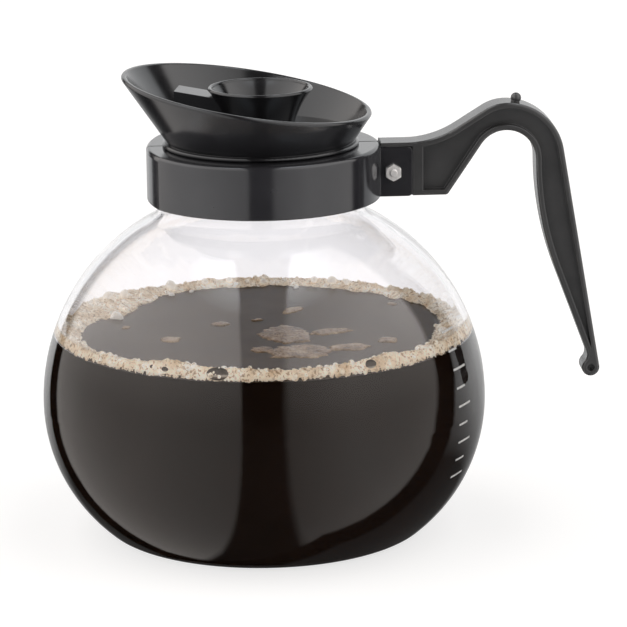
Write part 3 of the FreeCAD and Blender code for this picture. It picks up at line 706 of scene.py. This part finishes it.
# Bubbles flattened against the front of the glass: angle, height above the level, half width and half height in mm
pressedBubbles = {
    "places": [(255.0, 1.4, 4.3, 2.4), (297.5, 1.9, 2.5, 1.7), (240.0, 1.6, 1.5, 1.0), (236.0, 1.9, 1.1, 0.8)],
    "depth": 1.0 * mm, "inset": 0.10 * mm,
}


# A window in the foam: dark above, with a painted highlight, a pale streak on the bubble's floor
def makeWindow():
    material, tree, shader, place = newMaterial("bubbleWindow")
    height = put(tree, "ShaderNodeSeparateXYZ", {0: place}).outputs["Z"]
    waver = put(tree, "ShaderNodeTexNoise", {"Vector": place, "Scale": 500.0, "Detail": 2.0})
    low = coffee["level"] - 0.9 * mm
    share = put(tree, "ShaderNodeMapRange", {"Value": height, "From Min": low, "From Max": low + 4.8 * mm}).outputs[0]
    moved = calc(tree, "MULTIPLY_ADD", waver.outputs["Fac"], 0.12, calc(tree, "SUBTRACT", share, 0.06))
    # The pale stops in the middle of this ramp are the painted highlight
    colour = ramp(tree, moved, [(0.0, (0.05, 0.035, 0.02)), (0.28, (0.12, 0.09, 0.06)), (0.36, (0.55, 0.48, 0.40)),
                                (0.44, (0.50, 0.44, 0.37)), (0.52, (0.12, 0.10, 0.08)), (1.0, (0.03, 0.022, 0.015))])
    tree.links.new(colour, shader.inputs["Base Color"])
    shader.inputs["Roughness"].default_value = 0.08
    shader.inputs["IOR"].default_value = 1.33
    return material


def bubbleWindows():
    body = bmesh.new()
    for angle, lift, halfWidth, halfHeight in pressedBubbles["places"]:
        turn = math.radians(angle)
        z = coffee["level"] + lift * mm
        distance = wallRadius(z) - pressedBubbles["inset"]
        lean = math.atan2(wallRadius(z - mm) - wallRadius(z + mm), 2 * mm)
        turned = Matrix.Rotation(turn, 4, "Z") @ Matrix.Rotation(-lean, 4, "Y")
        size = Matrix.Diagonal((pressedBubbles["depth"], halfWidth * mm, halfHeight * mm, 1))
        place = roundTheRing(distance, turn, z) @ turned @ size
        bmesh.ops.create_icosphere(body, subdivisions=4, radius=1.0, matrix=place)
    return closeBody("foam_windows", body, makeWindow())


windows = bubbleWindows()
for piece in (foamPiece, islandPiece, bubbles, domes, windows):
    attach(piece, "jug")
print("foam done")


# Level marks printed on the outside of the glass

marks = {
    "count": 9, "first": 29.0 * mm, "step": 6.75 * mm, "from": -33.5, "long": 9.5 * mm, "short": 6.5 * mm,
    "thick": 0.75 * mm, "stand": 0.04 * mm, "sink": 0.10 * mm,
    "glassWall": 2.2 * mm,
}


def makePrint():
    material, tree, shader, place = newMaterial("whitePrint")
    cloud = put(tree, "ShaderNodeTexNoise", {"Vector": place, "Scale": 1800.0, "Detail": 4.0})
    colour = ramp(tree, cloud.outputs["Fac"], [(0.30, (0.22, 0.22, 0.22)), (0.60, (0.60, 0.60, 0.59))])
    tree.links.new(colour, shader.inputs["Base Color"])
    shader.inputs["Roughness"].default_value = 0.5
    return material


whitePrint = makePrint()


# Bars in a flat strip, wrapped on the glass: x runs round the bowl and y up it
def markTree(material):
    tree, given = newGeometryTree("levelMarks", {
        "Count": 9, "First": 0.03, "Step": 0.007, "Start": 0.0, "Long": 0.01, "Short": 0.006, "Thick": 0.001,
        "Stand": 0.0001, "Sink": 0.0001, "Equator": 0.05, "Lower centre": 0.02, "Lower radius": 0.06,
        "Upper centre": 0.004, "Upper radius": 0.078})
    index = put(tree, "GeometryNodeInputIndex").outputs[0]
    line = put(tree, "GeometryNodeMeshLine", {"Count": given["Count"]})
    odd = calc(tree, "MODULO", index, 2.0)
    shorter = calc(tree, "SUBTRACT", given["Long"], given["Short"])
    length = calc(tree, "SUBTRACT", given["Long"], calc(tree, "MULTIPLY", odd, shorter))
    height = calc(tree, "MULTIPLY_ADD", index, given["Step"], given["First"])
    spot = put(tree, "ShaderNodeCombineXYZ", {"X": 0.0, "Y": height, "Z": 0.0}).outputs[0]
    placed = put(tree, "GeometryNodeSetPosition", {"Geometry": line.outputs[0], "Position": spot})
    bar = put(tree, "GeometryNodeMeshCube", {"Size": (1, 1, 1), "Vertices X": 9, "Vertices Y": 2, "Vertices Z": 2})
    shift = put(tree, "GeometryNodeTransform", {"Geometry": bar.outputs[0], "Translation": (0.5, 0, 0)})
    deep = calc(tree, "ADD", given["Stand"], given["Sink"])
    size = put(tree, "ShaderNodeCombineXYZ", {"X": length, "Y": given["Thick"], "Z": deep}).outputs[0]
    bars = put(tree, "GeometryNodeInstanceOnPoints", {"Points": placed.outputs[0], "Instance": shift.outputs[0],
                                                      "Scale": size})
    flat = put(tree, "GeometryNodeRealizeInstances", {0: bars.outputs[0]})
    where = put(tree, "ShaderNodeSeparateXYZ", {0: put(tree, "GeometryNodeInputPosition").outputs[0]})
    z = where.outputs["Y"]
    rise = calc(tree, "SUBTRACT", z, given["Equator"])
    under = calc(tree, "LESS_THAN", rise, 0.0)

    def belowOrAbove(size):      # the bowl's lower arc under the equator, its upper arc over it
        change = calc(tree, "SUBTRACT", given["Lower " + size], given["Upper " + size])
        return calc(tree, "ADD", given["Upper " + size], calc(tree, "MULTIPLY", under, change))

    middle = belowOrAbove("centre")
    reach = belowOrAbove("radius")
    square = calc(tree, "SUBTRACT", calc(tree, "MULTIPLY", reach, reach), calc(tree, "MULTIPLY", rise, rise))
    radius = calc(tree, "ADD", middle, calc(tree, "SQRT", square))
    between = calc(tree, "MULTIPLY", calc(tree, "SUBTRACT", given["Stand"], given["Sink"]), 0.5)
    lift = calc(tree, "ADD", where.outputs["Z"], between)
    outside = calc(tree, "ADD", radius, lift)
    angle = calc(tree, "ADD", given["Start"], calc(tree, "DIVIDE", where.outputs["X"], radius))
    wrapped = put(tree, "ShaderNodeCombineXYZ", {"X": calc(tree, "MULTIPLY", outside, calc(tree, "COSINE", angle)),
                                                 "Y": calc(tree, "MULTIPLY", outside, calc(tree, "SINE", angle)),
                                                 "Z": z}).outputs[0]
    bent = put(tree, "GeometryNodeSetPosition", {"Geometry": flat.outputs[0], "Position": wrapped})
    closeTree(tree, bent.outputs[0], material)
    return tree


markValues = {
    "Count": marks["count"], "First": marks["first"], "Step": marks["step"], "Start": math.radians(marks["from"]),
    "Long": marks["long"], "Short": marks["short"], "Thick": marks["thick"], "Stand": marks["stand"],
    "Sink": marks["sink"], "Equator": coffee["equator"],
    "Lower centre": coffee["lowerCentre"], "Lower radius": coffee["lowerRadius"] + marks["glassWall"],
    "Upper centre": coffee["upperCentre"], "Upper radius": coffee["upperRadius"] + marks["glassWall"],
}
levelMarks = grown("level_marks", markTree(whitePrint), markValues)
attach(levelMarks, "jug")
print("level marks", len(levelMarks.data.polygons))


# Floor

paper = {"size": 12.0, "dark": (0.40, 0.40, 0.40), "pale": (0.42, 0.42, 0.42), "glow": 0.71}


def makeFloor():
    mesh = bpy.data.meshes.new("floor")
    size = paper["size"]
    mesh.from_pydata([(-size, -size, 0), (size, -size, 0), (size, size, 0), (-size, size, 0)], [], [(0, 1, 2, 3)])
    floor = addPiece("floor", mesh)
    material, tree, shader, place = newMaterial("floorPaper")
    cloud = put(tree, "ShaderNodeTexNoise", {"Vector": place, "Scale": 4.0, "Detail": 2.0})
    colour = ramp(tree, cloud.outputs["Fac"], [(0.3, paper["dark"]), (0.7, paper["pale"])])
    tree.links.new(colour, shader.inputs["Base Color"])
    shader.inputs["Roughness"].default_value = 0.9
    shader.inputs["Specular IOR Level"].default_value = 0.0
    shader.inputs["Emission Color"].default_value = (1, 1, 1, 1)
    shader.inputs["Emission Strength"].default_value = paper["glow"]
    floor.data.materials.append(material)
    floor.visible_glossy = False


makeFloor()
print("floor done")
